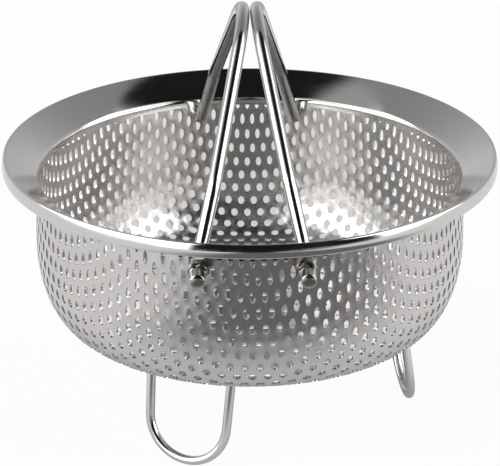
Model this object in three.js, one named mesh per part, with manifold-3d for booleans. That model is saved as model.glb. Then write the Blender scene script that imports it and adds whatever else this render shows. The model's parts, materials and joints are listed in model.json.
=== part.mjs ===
// Steamer basket: a perforated bowl with a polished flange, two folding arch handles and three wire legs.
// Millimetres, +Z up, standing on the table at z = 0, with the handle pivots along Y.
import * as THREE from 'three';
import { mergeVertices } from 'three/addons/utils/BufferGeometryUtils.js';
import Module from 'manifold-3d';

const wasm = await Module();
wasm.setup();

// Gap left between separate pieces that rest on each other
const SEAT_GAP = 0.3;

// Bowl, drawn from one perforated sheet
const BOWL_RADIUS = 104;
const BOWL_BELLY = 0.8;
const BOWL_HEIGHT = 74.5;
const BOWL_SHEET = 0.7;
const CORNER_REACH = 20.2;
const CORNER_RISE = 40.4;
const FLOOR_CLEARANCE = 53.8;

// Perforation of the flat blank: six-sided holes that open as much of the sheet as 4.2 holes at a 7.2 pitch
const HOLE_DIAMETER = 10.9;
const HOLE_PITCH = 17;
const HOLE_EDGE_MARGIN = 1.2;
const HOLE_SIDES = 6;
const DRAW_STRETCH = 0.9;
const BLANK_STEP = 0.5;
const TOP_EDGE_FACETS = 56;

// Flange ring, with its neck inside the bowl and a hem turned down outside
const RING_SHEET = 0.8;
const NECK_CLEARANCE = 0.45;
const NECK_DEPTH = 4;
const MOUTH_BEND = 1.8;
const FLANGE_WIDTH = 18.15;
const FLANGE_SLOPE = THREE.MathUtils.degToRad(33);
const CREST_BEND = 1.3;
const HEM_HEIGHT = 6.6;
const HEM_WAIST = 0.6;
const CURL_BEND = 0.9;
const CURL_REACH = 1.9;
const RING_FACETS = 48;
const RING_BEND_STEP = THREE.MathUtils.degToRad(50);

// Handles, bent from round rod
const ROD_DIAMETER = 6.4;
const ROD_FACETS = 12;
const PIVOT_SPREAD = 49.3;
const PIVOT_DROP = 8.9;
const ARCH_HEIGHT = 91.2;
const CROWN_BEND = 43.5;
const KNEE_HEIGHT = 33;
const KNEE_INSET = 16;
const KNEE_BEND = 25;
const ROOT_BEND = 7;
const ROOT_STRAIGHT = 1.6;
const BEND_STEP = THREE.MathUtils.degToRad(22);

// Pivot studs with their washers and cap nuts
const STUD_DIAMETER = 4;
const STUD_CLEARANCE = 0.35;
const STUD_ENGAGEMENT = 6.5;
const WASHER_DIAMETER = 9;
const WASHER_THICKNESS = 1;
const NUT_ACROSS_FLATS = 7.6;
const NUT_HEX_HEIGHT = 3.2;
const NUT_CAP_DIAMETER = 6.6;
const NUT_HEIGHT = 11.2;
const NUT_SIDES = 6;
const NUT_DOME_STEPS = 2;

// Legs, bent from wire and welded under the floor
const WIRE_DIAMETER = 4.4;
const WIRE_FACETS = 10;
const LEG_TOP_WIDTH = 43.4;
const LEG_FOOT_WIDTH = 40;
const LEG_SPLAY = THREE.MathUtils.degToRad(8.6);
const LEG_TAB = 15;
const LEG_TAB_BEND = 6;
const FOOT_FLAT = 0.3;
const FRONT_LEG_INSET = 22;
const RIGHT_LEG_INSET = 11;
const BACK_LEG_INSET = 16.5;
const LEGS = [
  { name: 'leg_front_left', azimuth: -117, inset: FRONT_LEG_INSET },
  { name: 'leg_right', azimuth: 7, inset: RIGHT_LEG_INSET },
  { name: 'leg_back_left', azimuth: 125, inset: BACK_LEG_INSET },
];

// Places that follow from the sizes
const floorRadius = BOWL_RADIUS + BOWL_BELLY - CORNER_REACH;
const bowlTop = FLOOR_CLEARANCE + BOWL_HEIGHT;
const cornerTop = FLOOR_CLEARANCE + CORNER_RISE;
const neckRadius = BOWL_RADIUS - BOWL_SHEET - NECK_CLEARANCE - RING_SHEET;
const mouthHeight = bowlTop + SEAT_GAP;
const rimRadius = neckRadius + FLANGE_WIDTH;
const pivotHeight = mouthHeight - PIVOT_DROP;
const pivotX = PIVOT_SPREAD / 2;
const rodRadius = ROD_DIAMETER / 2;
const boreRadius = STUD_DIAMETER / 2 + STUD_CLEARANCE;

const finish = (color, roughness) => new THREE.MeshStandardMaterial({ color, roughness, metalness: 1 });
const satinSheet = finish(0xb7b4b0, 0.34);
const polishedSheet = finish(0xc9c7c4, 0.12);
const polishedRod = finish(0xcfcdca, 0.14);
const wireSteel = finish(0xbdbbb8, 0.24);
const nutSteel = finish(0xc2c0bd, 0.16);

// Solids for cutting and joining

function toSolid(geometry) {
  const plain = geometry.clone();
  plain.deleteAttribute('normal');
  plain.deleteAttribute('uv');
  const merged = mergeVertices(plain);
  const vertProperties = new Float32Array(merged.attributes.position.array);
  const triVerts = new Uint32Array(merged.index.array);
  return new wasm.Manifold(new wasm.Mesh({ numProp: 3, vertProperties, triVerts }));
}

function toGeometry(solid) {
  const mesh = solid.getMesh();
  const geometry = new THREE.BufferGeometry();
  geometry.setAttribute('position', new THREE.BufferAttribute(mesh.vertProperties, 3));
  geometry.setIndex(new THREE.BufferAttribute(mesh.triVerts, 1));
  geometry.computeVertexNormals();
  return geometry;
}

function named(name, geometry, material) {
  const mesh = new THREE.Mesh(geometry, material);
  mesh.name = name;
  return mesh;
}

const onCircle = (radius, angle) => new THREE.Vector2(radius * Math.cos(angle), radius * Math.sin(angle));

// Bent rod and sheet: straight runs joined by round bends

function bendStations(corners, bendStep = BEND_STEP) {
  const stations = [];
  corners.forEach(({ at, bend = 0 }, index) => {
    const before = corners[index - 1];
    const after = corners[index + 1];
    const into = before && at.clone().sub(before.at).normalize();
    const out = after && after.at.clone().sub(at).normalize();
    if (!into || !out) {
      stations.push({ point: at.clone(), tangent: into ?? out });
      return;
    }
    const turn = into.angleTo(out);
    const start = at.clone().addScaledVector(into, -bend * Math.tan(turn / 2));
    const across = out.clone().addScaledVector(into, -out.dot(into)).normalize();
    const steps = bend > 0 ? Math.max(2, Math.ceil(turn / bendStep)) : 0;
    for (let step = 0; step <= steps; step += 1) {
      const angle = steps ? (turn * step) / steps : turn / 2;
      const point = start.clone().addScaledVector(into, bend * Math.sin(angle));
      point.addScaledVector(across, bend * (1 - Math.cos(angle)));
      const tangent = into.clone().multiplyScalar(Math.cos(angle)).addScaledVector(across, Math.sin(angle));
      stations.push({ point, tangent });
    }
  });
  return stations;
}

class BentPath extends THREE.Curve {
  constructor(corners) {
    super();
    this.stations = bendStations(corners);
  }

  get steps() {
    return this.stations.length - 1;
  }

  getUtoTmapping(u) {
    return u;
  }

  getPoint(t) {
    return this.stations[Math.round(t * this.steps)].point.clone();
  }

  getTangent(t) {
    return this.stations[Math.round(t * this.steps)].tangent.clone();
  }
}

function bentRod(corners, diameter, facets) {
  const turn = (2 * Math.PI) / facets;
  const ring = Array.from({ length: facets }, (_, k) => onCircle(diameter / 2, (k + 0.5) * turn));
  const section = new THREE.Shape(ring);
  const extrudePath = new BentPath(corners);
  return new THREE.ExtrudeGeometry(section, { extrudePath, steps: extrudePath.steps, bevelEnabled: false });
}

// Bowl profile, and the way the flat blank was drawn into it

const profile = new THREE.Path();
profile.moveTo(0, FLOOR_CLEARANCE);
profile.lineTo(floorRadius, FLOOR_CLEARANCE);
profile.absellipse(floorRadius, cornerTop, CORNER_REACH, CORNER_RISE, -Math.PI / 2, 0, false);
profile.lineTo(BOWL_RADIUS, bowlTop);
const profileLength = profile.getLength();

function drawnTable() {
  const table = [{ blank: 0, drawn: 0 }];
  while (table.at(-1).drawn < profileLength) {
    const { blank, drawn } = table.at(-1);
    const radius = profile.getPoint(drawn / profileLength).x;
    const squeeze = blank > floorRadius ? Math.max(1, blank / radius) : 1;
    table.push({ blank: blank + BLANK_STEP, drawn: drawn + BLANK_STEP * squeeze ** DRAW_STRETCH });
  }
  return table;
}

const drawTable = drawnTable();

function blend(rows, key, value, wanted) {
  const index = Math.max(1, rows.findIndex((row) => row[key] >= value));
  const [low, high] = [rows[index - 1], rows[index]];
  const share = (value - low[key]) / (high[key] - low[key]);
  return low[wanted] + share * (high[wanted] - low[wanted]);
}

const drawnLength = (blank) => blend(drawTable, 'blank', blank, 'drawn');
const blankRadius = blend(drawTable, 'drawn', profileLength, 'blank');

function drawnPoint({ x, y }, depth) {
  const angle = Math.atan2(y, x);
  const along = Math.min(1, drawnLength(Math.hypot(x, y)) / profileLength);
  const place = profile.getPoint(along);
  const tangent = profile.getTangent(along);
  const radius = place.x - tangent.y * depth;
  const height = place.y + tangent.x * depth;
  return new THREE.Vector3(radius * Math.cos(angle), radius * Math.sin(angle), height);
}

// Perforated sheet: sites of the triangular pattern, each a six-sided hole or, beside a pivot, plain metal

const rowPitch = HOLE_PITCH * Math.sqrt(3 / 4);

function nearPivot(spot) {
  const place = drawnPoint(spot, 0);
  const reach = boreRadius + HOLE_DIAMETER;
  return Math.hypot(Math.abs(place.x) - pivotX, place.z - pivotHeight) < reach;
}

function perforationSites() {
  const sites = new Map();
  const limit = blankRadius - HOLE_DIAMETER / 2 - HOLE_EDGE_MARGIN;
  const reach = Math.ceil(blankRadius / rowPitch) + 1;
  let vertices = 0;
  for (let row = -reach; row <= reach; row += 1) {
    const shift = row % 2 ? 0 : 0.5;
    for (let column = -reach; column <= reach; column += 1) {
      const spot = new THREE.Vector2((column + shift) * HOLE_PITCH, (row + 0.5) * rowPitch);
      if (spot.length() > limit) continue;
      const open = !nearPivot(spot);
      sites.set(`${column},${row}`, { spot, open, first: vertices });
      vertices += open ? HOLE_SIDES : 1;
    }
  }
  return sites;
}

function patternTriangles(sites) {
  const triangles = [];
  for (const key of sites.keys()) {
    const [column, row] = key.split(',').map(Number);
    const shifted = row % 2 ? 0 : 1;
    const here = sites.get(key);
    const beside = sites.get(`${column + 1},${row}`);
    const aboveRight = sites.get(`${column + shifted},${row + 1}`);
    const aboveLeft = sites.get(`${column + shifted - 1},${row + 1}`);
    if (beside && aboveRight) triangles.push([here, beside, aboveRight]);
    if (aboveRight && aboveLeft) triangles.push([here, aboveRight, aboveLeft]);
  }
  return triangles;
}

function facing(site, other) {
  const { x, y } = other.spot.clone().sub(site.spot);
  return (Math.round((Math.atan2(y, x) * HOLE_SIDES) / (2 * Math.PI)) + HOLE_SIDES) % HOLE_SIDES;
}

const vertexFacing = (site, other) => site.first + (site.open ? facing(site, other) : 0);

function flatVertices(sites) {
  const flat = [];
  for (const { spot, open } of sites.values()) {
    if (!open) flat.push(spot);
    for (let side = 0; open && side < HOLE_SIDES; side += 1) {
      flat.push(onCircle(HOLE_DIAMETER / 2, (2 * Math.PI * side) / HOLE_SIDES).add(spot));
    }
  }
  return flat;
}

function webFaces(triangles) {
  const faces = [];
  for (const corners of triangles) {
    const outline = corners.flatMap((site, k) => {
      const next = corners[(k + 1) % 3];
      const previous = corners[(k + 2) % 3];
      const pair = [vertexFacing(site, previous), vertexFacing(site, next)];
      return site.open ? pair : pair.slice(1);
    });
    for (let k = 1; k < outline.length - 1; k += 1) faces.push([outline[0], outline[k], outline[k + 1]]);
  }
  return faces;
}

// Outline of the patterned field, walked round the outside of its edge holes

function fieldOutline(triangles) {
  const nextSite = new Map();
  const edges = triangles.flatMap(([a, b, c]) => [[a, b], [b, c], [c, a]]);
  const known = new Set(edges.map(([a, b]) => `${a.first}>${b.first}`));
  for (const [a, b] of edges) {
    if (!known.has(`${b.first}>${a.first}`)) nextSite.set(a, b);
  }
  const outline = [];
  const first = nextSite.keys().next().value;
  let previous = first;
  let site = nextSite.get(first);
  do {
    const next = nextSite.get(site);
    const start = facing(site, previous);
    const span = (facing(site, next) - start + HOLE_SIDES) % HOLE_SIDES;
    for (let k = 0; k <= (site.open ? span : 0); k += 1) {
      outline.push(site.first + (site.open ? (start + k) % HOLE_SIDES : 0));
    }
    previous = site;
    site = next;
  } while (previous !== first);
  return outline;
}

// Border between the field and the top edge, filled sector by sector

function borderFaces(flat, outline, edge) {
  const unrolled = (index) => flat[index].clone().setLength(drawnLength(flat[index].length()));
  const field = outline.map(unrolled);
  const nearest = edge.map(unrolled).map((place) => {
    const reach = field.map((spot) => spot.distanceTo(place));
    return reach.indexOf(Math.min(...reach));
  });
  return edge.flatMap((vertex, k) => {
    const after = (k + 1) % edge.length;
    const count = (nearest[after] - nearest[k] + outline.length) % outline.length;
    const run = Array.from({ length: count + 1 }, (_, step) => outline[(nearest[k] + step) % outline.length]);
    const sector = [vertex, edge[after], ...run.reverse()];
    const places = sector.map(unrolled);
    return THREE.ShapeUtils.triangulateShape(places, []).map((face) => {
      const [a, b, c] = face.map((corner) => places[corner]);
      const doubleArea = b.clone().sub(a).cross(c.clone().sub(a));
      return (doubleArea > 0 ? face : face.toReversed()).map((corner) => sector[corner]);
    });
  });
}

function perforatedBowl() {
  const sites = perforationSites();
  const triangles = patternTriangles(sites);
  const flat = flatVertices(sites);
  const edge = Array.from({ length: TOP_EDGE_FACETS }, (_, k) => flat.length + k);
  for (let k = 0; k < TOP_EDGE_FACETS; k += 1) {
    flat.push(onCircle(blankRadius, (2 * Math.PI * k) / TOP_EDGE_FACETS));
  }
  const count = flat.length;
  const faces = [...webFaces(triangles), ...borderFaces(flat, fieldOutline(triangles), edge)];
  const index = [];
  for (const [a, b, c] of faces) index.push(a, b, c, count + a, count + c, count + b);
  const wall = (a, b) => index.push(a, b, count + b, a, count + b, count + a);
  for (const { open, first } of sites.values()) {
    for (let side = 0; open && side < HOLE_SIDES; side += 1) {
      wall(first + side, first + ((side + 1) % HOLE_SIDES));
    }
  }
  edge.forEach((vertex, k) => wall(edge[(k + 1) % TOP_EDGE_FACETS], vertex));
  const inside = flat.map((spot) => drawnPoint(spot, BOWL_SHEET));
  const outside = flat.map((spot) => drawnPoint(spot, 0));
  const geometry = new THREE.BufferGeometry().setFromPoints([...inside, ...outside]);
  geometry.setIndex(index);
  return geometry;
}

function pivotBore(x) {
  const bore = new THREE.CylinderGeometry(boreRadius, boreRadius, 2 * rimRadius, ROD_FACETS);
  return toSolid(bore.translate(x, 0, pivotHeight));
}

function drilledBowl() {
  const sheet = toSolid(perforatedBowl());
  return toGeometry(sheet.subtract(pivotBore(-pivotX)).subtract(pivotBore(pivotX)));
}

// Flange ring: one bent sheet section turned round the axis

function flangeRing() {
  const crest = mouthHeight + FLANGE_WIDTH * Math.tan(FLANGE_SLOPE);
  const crestDrop = CREST_BEND * (Math.tan(FLANGE_SLOPE) + 1 / Math.cos(FLANGE_SLOPE) - 1);
  const hemBottom = crest - crestDrop - HEM_HEIGHT;
  const corner = (radius, height, bend) => ({ at: new THREE.Vector3(radius, height, 0), bend });
  const section = bendStations([
    corner(neckRadius, mouthHeight - NECK_DEPTH),
    corner(neckRadius, mouthHeight, MOUTH_BEND),
    corner(rimRadius, crest, CREST_BEND),
    corner(rimRadius - HEM_WAIST, hemBottom + HEM_HEIGHT / 2),
    corner(rimRadius, hemBottom, CURL_BEND),
    corner(rimRadius - CURL_REACH, hemBottom),
  ], RING_BEND_STEP);
  const top = section.map(({ point }) => new THREE.Vector2(point.x, point.y));
  const under = section.map(({ point, tangent }) => new THREE.Vector2(
    point.x + tangent.y * RING_SHEET,
    point.y - tangent.x * RING_SHEET,
  ));
  const outline = [...top, ...under.reverse(), top[0]];
  return new THREE.LatheGeometry(outline.reverse(), RING_FACETS).rotateX(Math.PI / 2);
}

// Handle: an arch in the pivot's own plane, with its ends turned out along the pivot axis

const wallAt = (x, radius) => Math.sqrt(radius ** 2 - x ** 2);
const shoulderY = wallAt(pivotX + rodRadius, BOWL_RADIUS - BOWL_SHEET) - SEAT_GAP;
const washerFoot = pivotHeight - WASHER_DIAMETER / 2;
const washerWall = BOWL_RADIUS + (BOWL_BELLY * (bowlTop - washerFoot)) / (bowlTop - cornerTop);
const washerY = wallAt(pivotX - WASHER_DIAMETER / 2, washerWall) + SEAT_GAP;
const nutY = washerY + WASHER_THICKNESS + SEAT_GAP;
const studEnd = nutY + STUD_ENGAGEMENT;
const restLean = Math.asin((pivotX - rodRadius - SEAT_GAP / 2) / ARCH_HEIGHT);

function archCorners() {
  const legAngle = Math.atan2(KNEE_HEIGHT, KNEE_INSET);
  const rootY = shoulderY - ROOT_STRAIGHT - ROOT_BEND * Math.tan(legAngle / 2);
  const knee = new THREE.Vector2(rootY - KNEE_INSET, KNEE_HEIGHT);
  const crownCentre = ARCH_HEIGHT - CROWN_BEND;
  const toKnee = knee.clone().sub(new THREE.Vector2(0, crownCentre));
  const tangentAngle = toKnee.angle() + Math.acos(CROWN_BEND / toKnee.length());
  const apex = crownCentre + CROWN_BEND / Math.sin(tangentAngle);
  const half = [
    { y: shoulderY, z: 0 },
    { y: rootY, z: 0, bend: ROOT_BEND },
    { y: knee.x, z: knee.y, bend: KNEE_BEND },
  ];
  const mirrored = half.map((corner) => ({ ...corner, y: -corner.y })).reverse();
  const corners = [...half, { y: 0, z: apex, bend: CROWN_BEND }, ...mirrored];
  return corners.map(({ y, z, bend }) => ({ at: new THREE.Vector3(0, y, z), bend }));
}

function handleRod() {
  let rod = toSolid(bentRod(archCorners(), ROD_DIAMETER, ROD_FACETS));
  const length = studEnd - shoulderY + rodRadius;
  for (const side of [-1, 1]) {
    const stud = new THREE.CylinderGeometry(STUD_DIAMETER / 2, STUD_DIAMETER / 2, length, ROD_FACETS);
    rod = rod.add(toSolid(stud.translate(0, side * (studEnd - length / 2), 0)));
  }
  return toGeometry(rod);
}

// Fasteners, modelled along +Y from the face that bears on the wall

function washer() {
  const outer = WASHER_DIAMETER / 2;
  const base = [new THREE.Vector2(boreRadius, 0), new THREE.Vector2(outer, 0)];
  const top = base.map(({ x }) => new THREE.Vector2(x, WASHER_THICKNESS)).reverse();
  return new THREE.LatheGeometry([...base, ...top, base[0]], ROD_FACETS);
}

function capNut() {
  const hexRadius = NUT_ACROSS_FLATS / Math.sqrt(3);
  const hex = new THREE.CylinderGeometry(hexRadius, hexRadius, NUT_HEX_HEIGHT, NUT_SIDES);
  hex.translate(0, NUT_HEX_HEIGHT / 2, 0);
  const capRadius = NUT_CAP_DIAMETER / 2;
  const dome = new THREE.Path();
  dome.moveTo(0, NUT_HEX_HEIGHT / 2);
  dome.lineTo(capRadius, NUT_HEX_HEIGHT / 2);
  dome.absarc(0, NUT_HEIGHT - capRadius, capRadius, 0, Math.PI / 2, false);
  const domePoints = dome.getPoints(NUT_DOME_STEPS);
  domePoints.at(-1).setX(0);
  const cap = new THREE.LatheGeometry(domePoints, ROD_FACETS);
  const boreDepth = STUD_ENGAGEMENT + SEAT_GAP;
  const bore = new THREE.CylinderGeometry(boreRadius, boreRadius, 2 * boreDepth, ROD_FACETS);
  return toGeometry(toSolid(hex).add(toSolid(cap)).subtract(toSolid(bore)));
}

function handle(side, sign) {
  const group = new THREE.Group();
  group.position.set(sign * pivotX, 0, pivotHeight);
  group.rotation.y = -sign * restLean;
  group.add(named(`handle_${side}`, handleRod(), polishedRod));
  for (const [end, turn, way] of [['front', Math.PI, -1], ['back', 0, 1]]) {
    const ring = named(`washer_${side}_${end}`, washer(), nutSteel);
    const nut = named(`cap_nut_${side}_${end}`, capNut(), nutSteel);
    ring.position.y = way * washerY;
    nut.position.y = way * nutY;
    for (const piece of [ring, nut]) {
      piece.rotation.z = turn;
      group.add(piece);
    }
  }
  return group;
}

// Leg: a wire U that narrows towards a round foot, with two tabs turned in under the floor

function wireLeg(weldRadius) {
  const wireRadius = WIRE_DIAMETER / 2;
  const tabHeight = FLOOR_CLEARANCE - SEAT_GAP - wireRadius;
  const footHeight = wireRadius - FOOT_FLAT;
  const footRadius = weldRadius + (tabHeight - footHeight) * Math.tan(LEG_SPLAY);
  const halfTop = LEG_TOP_WIDTH / 2;
  const halfFoot = LEG_FOOT_WIDTH / 2;
  const strand = new THREE.Vector3(footRadius - weldRadius, halfFoot - halfTop, footHeight - tabHeight);
  const footTurn = strand.angleTo(new THREE.Vector3(0, -1, 0));
  const footBend = halfFoot / Math.tan(footTurn / 2);
  const corner = (radius, across, height, bend) => ({ at: new THREE.Vector3(radius, across, height), bend });
  const wire = bentRod([
    corner(weldRadius - LEG_TAB, halfTop, tabHeight),
    corner(weldRadius, halfTop, tabHeight, LEG_TAB_BEND),
    corner(footRadius, halfFoot, footHeight, footBend),
    corner(footRadius, -halfFoot, footHeight, footBend),
    corner(weldRadius, -halfTop, tabHeight, LEG_TAB_BEND),
    corner(weldRadius - LEG_TAB, -halfTop, tabHeight),
  ], WIRE_DIAMETER, WIRE_FACETS);
  const table = new THREE.BoxGeometry(2 * footRadius, 2 * LEG_TOP_WIDTH, WIRE_DIAMETER);
  table.translate(footRadius, 0, -WIRE_DIAMETER / 2);
  return toGeometry(toSolid(wire).subtract(toSolid(table)));
}

const basket = new THREE.Group();
basket.add(named('perforated_bowl', drilledBowl(), satinSheet));
basket.add(named('flange_ring', flangeRing(), polishedSheet));
for (const { name, azimuth, inset } of LEGS) {
  const leg = named(name, wireLeg(floorRadius - inset), wireSteel);
  leg.rotation.z = THREE.MathUtils.degToRad(azimuth);
  basket.add(leg);
}
basket.add(handle('left', -1));
basket.add(handle('right', 1));

export default basket;
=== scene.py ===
"""Perforated stainless steamer basket with a polished flange, folding arch handles and wire legs.

Metres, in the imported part's frame: +Z up, feet on z = 0, handle pivots along Y, viewer towards -Y.
"""
import json
import logging
import math
from collections.abc import Callable, Sequence
from dataclasses import dataclass, replace
from enum import Enum

import bpy
from mathutils import Matrix, Vector


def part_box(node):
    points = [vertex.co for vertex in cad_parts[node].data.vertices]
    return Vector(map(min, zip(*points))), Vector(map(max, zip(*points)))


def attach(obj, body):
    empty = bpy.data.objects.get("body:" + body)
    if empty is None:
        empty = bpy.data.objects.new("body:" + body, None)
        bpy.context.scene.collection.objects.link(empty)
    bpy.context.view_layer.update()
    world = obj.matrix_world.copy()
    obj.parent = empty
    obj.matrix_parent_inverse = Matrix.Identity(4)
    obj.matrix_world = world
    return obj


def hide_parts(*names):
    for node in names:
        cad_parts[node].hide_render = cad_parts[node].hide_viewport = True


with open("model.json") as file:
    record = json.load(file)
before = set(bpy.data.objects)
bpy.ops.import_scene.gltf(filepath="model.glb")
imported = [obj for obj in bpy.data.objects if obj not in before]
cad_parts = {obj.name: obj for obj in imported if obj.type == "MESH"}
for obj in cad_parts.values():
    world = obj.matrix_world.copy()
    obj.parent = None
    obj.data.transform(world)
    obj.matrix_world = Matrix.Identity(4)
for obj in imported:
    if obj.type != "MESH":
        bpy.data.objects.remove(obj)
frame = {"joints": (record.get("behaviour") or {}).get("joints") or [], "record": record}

logging.basicConfig(level=logging.INFO, format="%(message)s")
log = logging.getLogger("steamer_basket")

MM = 0.001
HALF = 0.5
FULL_TURN = 2 * math.pi
ROW_RATIO = math.sqrt(0.75)
SEAT_GAP = 0.3 * MM
SHARP_ANGLE = math.radians(38)

FLOAT = "NodeSocketFloat"
COUNT = "NodeSocketInt"
VECTOR = "NodeSocketVector"
SHAPE = "NodeSocketGeometry"
STEEL = "NodeSocketMaterial"

Socket = bpy.types.NodeSocket
Wire = Socket | bpy.types.Material | float | int | bool | str | tuple | None
Row = Callable[[float], tuple[float, float]]


class Body(Enum):
    """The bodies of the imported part."""

    BASKET = "basket"
    LEFT_HANDLE = "left_handle"
    RIGHT_HANDLE = "right_handle"


class Side(Enum):
    """The two handles, by the sign of their pivot's x."""

    LEFT = -1
    RIGHT = 1

    @property
    def label(self) -> str:
        """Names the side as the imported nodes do."""
        return self.name.lower()


class Marks(Enum):
    """What the last working of the metal left on its surface: scales around, across and up, per metre."""

    DRAWN = (90.0, 260.0, 90.0)
    SPUN = (1.5, 2600.0, 2600.0)
    PULLED = (700.0, 700.0, 120.0)


def put(name: str, data: bpy.types.ID) -> bpy.types.Object:
    """Puts a new object in the scene, at the origin.

    Args:
        name: Its name.
        data: Its mesh or camera.
    Returns:
        The object.
    """
    thing = bpy.data.objects.new(name, data)
    bpy.context.scene.collection.objects.link(thing)
    return thing


# Guides and turned shapes


@dataclass(frozen=True)
class Corner:
    """A corner of bent stock: where it is, how round it is and how thick the stock is there."""

    at: Vector
    bend: float = 0.0
    girth: float = 1.0


def other_half(corners: Sequence[Corner]) -> list[Corner]:
    """Runs back through the corners of one half, on the other side of the XZ plane."""
    return [replace(corner, at=corner.at * Vector((1, -1, 1))) for corner in reversed(corners)]


def guide_mesh(
    points: Sequence[Vector], closed: bool = False, **fields: Sequence[float] | Sequence[Vector]
) -> bpy.types.Mesh:
    """Makes a line of edges with values on its points.

    Args:
        points: The points in order.
        closed: Whether the last point joins the first.
        fields: Numbers or vectors to keep on the points, by attribute name.
    Returns:
        The guide.
    """
    count = len(points)
    edges = [(k, (k + 1) % count) for k in range(count if closed else count - 1)]
    mesh = bpy.data.meshes.new("guide")
    mesh.from_pydata(points, edges, [])
    for name, values in fields.items():
        if isinstance(values[0], Vector):
            column = mesh.attributes.new(name, "FLOAT_VECTOR", "POINT")
            column.data.foreach_set("vector", [number for value in values for number in value])
        else:
            mesh.attributes.new(name, "FLOAT", "POINT").data.foreach_set("value", values)
    return mesh


def rounded(corners: Sequence[Corner], step: float) -> list[tuple[Vector, Vector]]:
    """Rounds the corners of a bent line.

    Args:
        corners: The corners in order.
        step: Turn between neighbouring points of a bend.
    Returns:
        Points with their directions.
    """
    stations = []
    for index, corner in enumerate(corners):
        into = (corner.at - corners[index - 1].at).normalized() if index else None
        out = (corners[index + 1].at - corner.at).normalized() if index + 1 < len(corners) else None
        if into is None or out is None:
            stations.append((corner.at, into or out))
            continue
        turn = into.angle(out)
        start = corner.at - into * corner.bend * math.tan(turn / 2)
        across = (out - into * out.dot(into)).normalized()
        steps = max(2, math.ceil(turn / step))
        for k in range(steps + 1):
            angle = turn * k / steps
            point = start + (into * math.sin(angle) + across * (1 - math.cos(angle))) * corner.bend
            stations.append((point, into * math.cos(angle) + across * math.sin(angle)))
    return stations


def round_rows(spots: Sequence[tuple[float, float]]) -> list[Row]:
    """Gives one round row for each radius and height."""
    return [lambda _, spot=spot: spot for spot in spots]


def turned_mesh(name: str, rows: Sequence[Row], segments: int) -> bpy.types.Mesh:
    """Turns rows of points round the Y axis; a row at radius 0 closes the shape at the axis.

    Args:
        name: The mesh's name.
        rows: For each row, a rule from the angle to a radius and a height.
        segments: Points in a row.
    Returns:
        The closed mesh, whose rows run so that its outside faces out.
    """
    points, faces, starts = [], [], []
    for row in rows:
        count = 1 if row(0.0)[0] == 0 else segments
        starts.append((len(points), count))
        for k in range(count):
            angle = FULL_TURN * k / segments
            radius, height = row(angle)
            points.append((radius * math.sin(angle), height, radius * math.cos(angle)))
    closed = starts[0][1] > 1
    pairs = list(zip(starts, starts[1:])) + ([(starts[-1], starts[0])] if closed else [])
    for (low, low_count), (high, high_count) in pairs:
        for k in range(segments):
            after = (k + 1) % segments
            lower = (low + k % low_count, low + after % low_count)
            upper = (high + after % high_count, high + k % high_count)
            faces.append(list(dict.fromkeys(lower + upper)))
    mesh = bpy.data.meshes.new(name)
    mesh.from_pydata(points, [], faces)
    return mesh


# Node trees


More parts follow.
